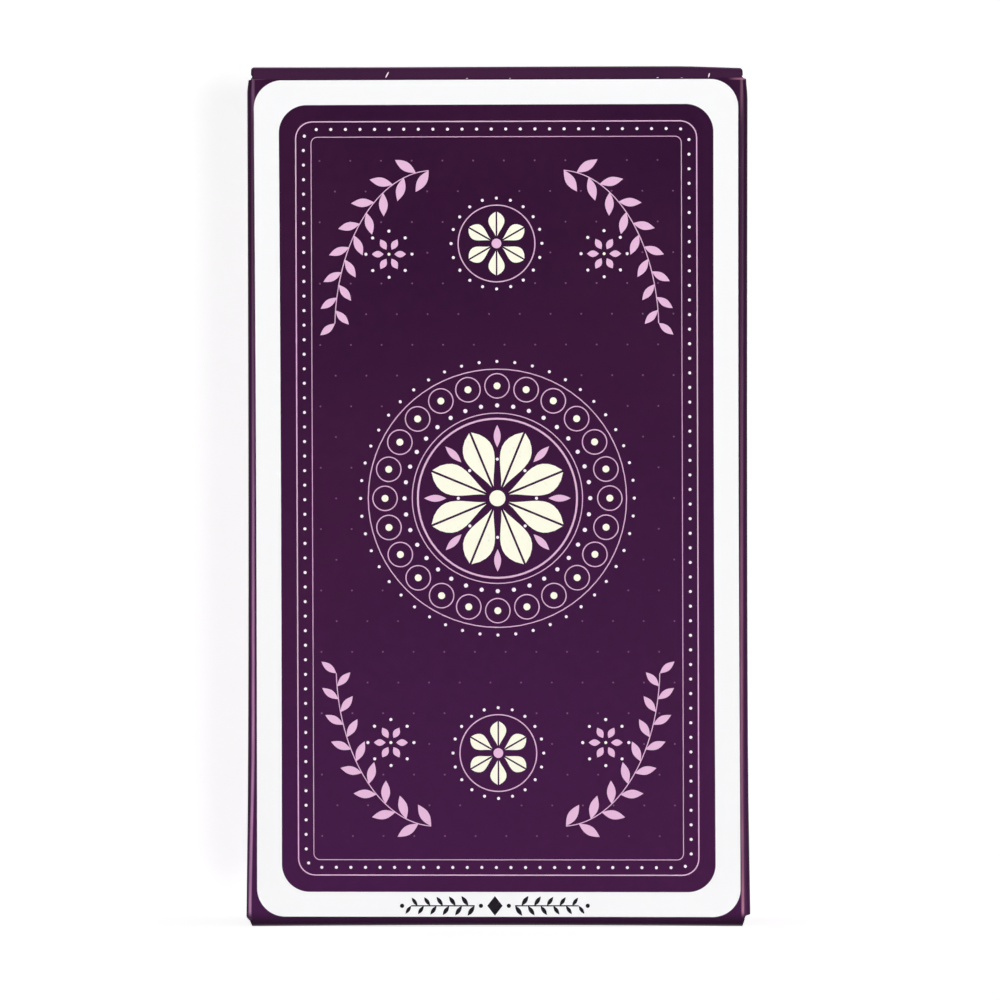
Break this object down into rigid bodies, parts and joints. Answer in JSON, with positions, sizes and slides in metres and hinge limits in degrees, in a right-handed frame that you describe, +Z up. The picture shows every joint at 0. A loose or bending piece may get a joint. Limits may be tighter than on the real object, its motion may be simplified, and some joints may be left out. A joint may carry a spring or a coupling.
{
  "type": "card deck in a tuck box",
  "caption": "Closed folding-carton tuck box with a hinged lid, tuck flap and dust flaps, holding a stack of round-cornered cards that stands upright inside it.",
  "frame": {"origin": "middle of the box's footprint, on the underside of its bottom panel", "axes": "+Z up towards the lid, the front panel faces -Y, +X to the right seen from the front"},
  "size_m": [0.0718, 0.0214, 0.1229],
  "materials": {
    "printed_board": "satin",
    "plain_board": "matte",
    "card_stock": "satin"
  },
  "bodies": {
    "carton": {"carton_sleeve": "printed_board", "bottom_panel": "printed_board"},
    "lid": {"lid_panel": "printed_board"},
    "tuck": {"tuck_flap": "printed_board"},
    "left_flap": {"left_dust_flap": "plain_board"},
    "right_flap": {"right_dust_flap": "plain_board"},
    "deck": {"card_01": "card_stock", "card_02": "card_stock", "card_03": "card_stock", "card_04": "card_stock", "card_05": "card_stock", "card_06": "card_stock", "card_07": "card_stock", "card_08": "card_stock", "card_09": "card_stock", "card_10": "card_stock", "card_11": "card_stock", "card_12": "card_stock", "card_13": "card_stock", "card_14": "card_stock", "card_15": "card_stock", "card_16": "card_stock", "card_17": "card_stock", "card_18": "card_stock", "card_19": "card_stock", "card_20": "card_stock", "card_21": "card_stock", "card_22": "card_stock", "card_23": "card_stock", "card_24": "card_stock", "card_25": "card_stock", "card_26": "card_stock", "card_27": "card_stock", "card_28": "card_stock", "card_29": "card_stock", "card_30": "card_stock", "card_31": "card_stock", "card_32": "card_stock", "card_33": "card_stock", "card_34": "card_stock", "card_35": "card_stock", "card_36": "card_stock", "card_37": "card_stock", "card_38": "card_stock", "card_39": "card_stock", "card_40": "card_stock", "card_41": "card_stock", "card_42": "card_stock", "card_43": "card_stock", "card_44": "card_stock", "card_45": "card_stock", "card_46": "card_stock", "card_47": "card_stock", "card_48": "card_stock", "card_49": "card_stock", "card_50": "card_stock", "card_51": "card_stock", "card_52": "card_stock", "card_53": "card_stock", "card_54": "card_stock"}
  },
  "joints": [
    {"name": "deck_slide", "type": "slide", "parent": "carton", "child": "deck", "axis": [0, 0, 1], "range_m": [0, 0.0059]},
    {"name": "lid_hinge", "type": "hinge", "parent": "carton", "child": "lid", "pos_m": [0, 0.01044, 0.12268], "axis": [-1, 0, 0], "range_deg": [0, 177], "deforming": ["tuck_flap"]},
    {"name": "tuck_fold", "type": "hinge", "parent": "lid", "child": "tuck", "pos_m": [0, -0.00969, 0.12268], "axis": [-1, 0, 0], "range_deg": [0, 27.2]},
    {"name": "left_dust_hinge", "type": "hinge", "parent": "carton", "child": "left_flap", "pos_m": [-0.03567, 0, 0.12208], "axis": [0, -1, 0], "range_deg": [0, 88.5]},
    {"name": "right_dust_hinge", "type": "hinge", "parent": "carton", "child": "right_flap", "pos_m": [0.03567, 0, 0.12208], "axis": [0, 1, 0], "range_deg": [0, 88.5]}
  ],
  "couplings": [
    {"joint": "lid_hinge", "follows": "deck_slide", "rad_per_m": 523.6},
    {"joint": "tuck_fold", "follows": "deck_slide", "rad_per_m": 80.462},
    {"joint": "left_dust_hinge", "follows": "deck_slide", "rad_per_m": 261.8},
    {"joint": "right_dust_hinge", "follows": "deck_slide", "rad_per_m": 261.8}
  ]
}
